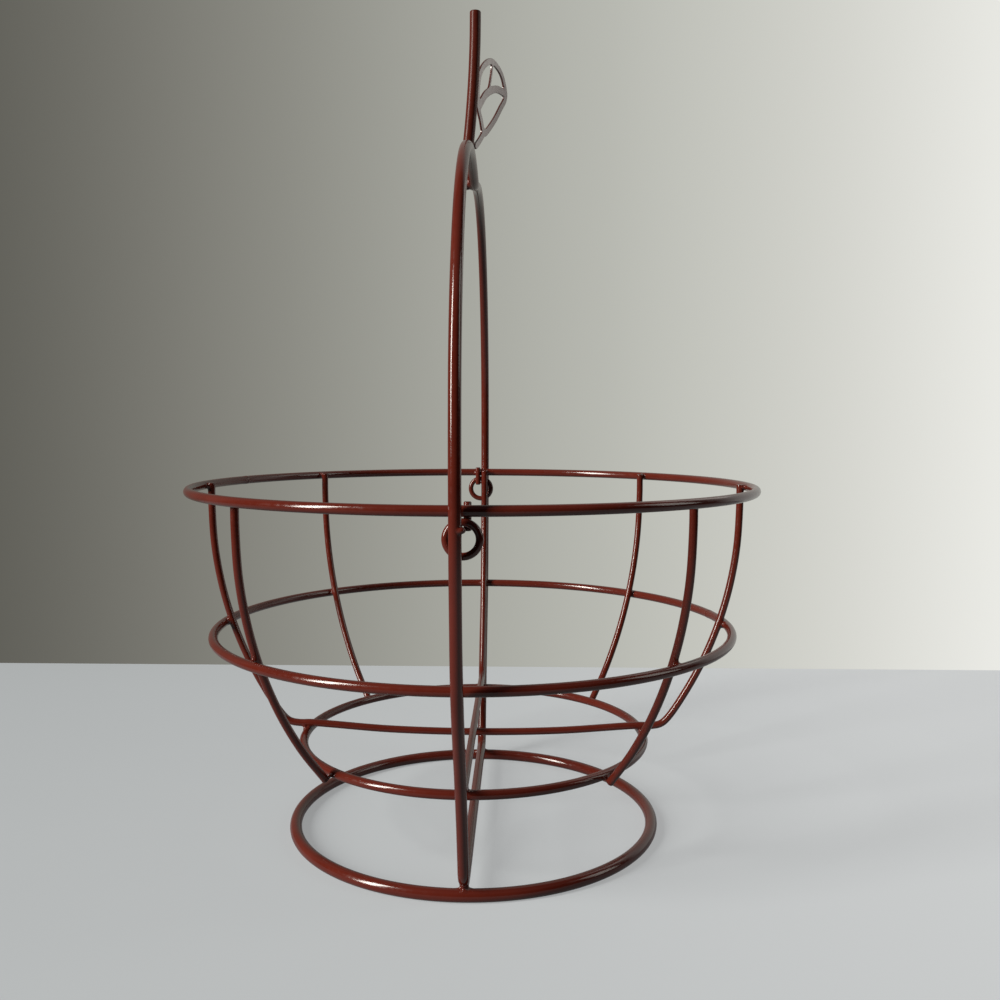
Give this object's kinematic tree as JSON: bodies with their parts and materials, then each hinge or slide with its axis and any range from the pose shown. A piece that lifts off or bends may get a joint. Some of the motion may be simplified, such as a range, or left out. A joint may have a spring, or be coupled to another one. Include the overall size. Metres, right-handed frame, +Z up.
{
  "type": "apple basket",
  "caption": "Open wire fruit basket: a round bowl of rings and ribs swings between the sides of a standing apple-shaped wire outline with a stem and leaf.",
  "frame": {"origin": "centre of the base ring, on the surface that the basket stands on", "axes": "+Z up, the apple outline lies in the YZ plane, -Y is the side that faces the viewer, +X is the viewer's right"},
  "size_m": [0.2154, 0.2254, 0.3104],
  "materials": {
    "red_coat": "glossy dark red powder coat on steel wire, a little uneven, with pale glints"
  },
  "bodies": {
    "frame": {"base_ring": "red_coat", "apple_frame": "red_coat", "stem": "red_coat", "leaf": "red_coat", "hinge_pin_front": "red_coat", "hinge_pin_back": "red_coat"},
    "bowl": {"rim_ring": "red_coat", "mid_ring": "red_coat", "lower_ring": "red_coat", "rib_left_right": "red_coat", "rib_front_back": "red_coat", "rib_back_right": "red_coat", "rib_back_left": "red_coat", "rib_front_left": "red_coat", "rib_front_right": "red_coat", "hanging_eye_front": "red_coat", "hanging_eye_back": "red_coat"}
  },
  "joints": [
    {"name": "bowl_swing", "type": "hinge", "parent": "frame", "child": "bowl", "pos_m": [0, 0, 0.12602], "axis": [0, 1, 0], "range_deg": [-90, 90]}
  ]
}
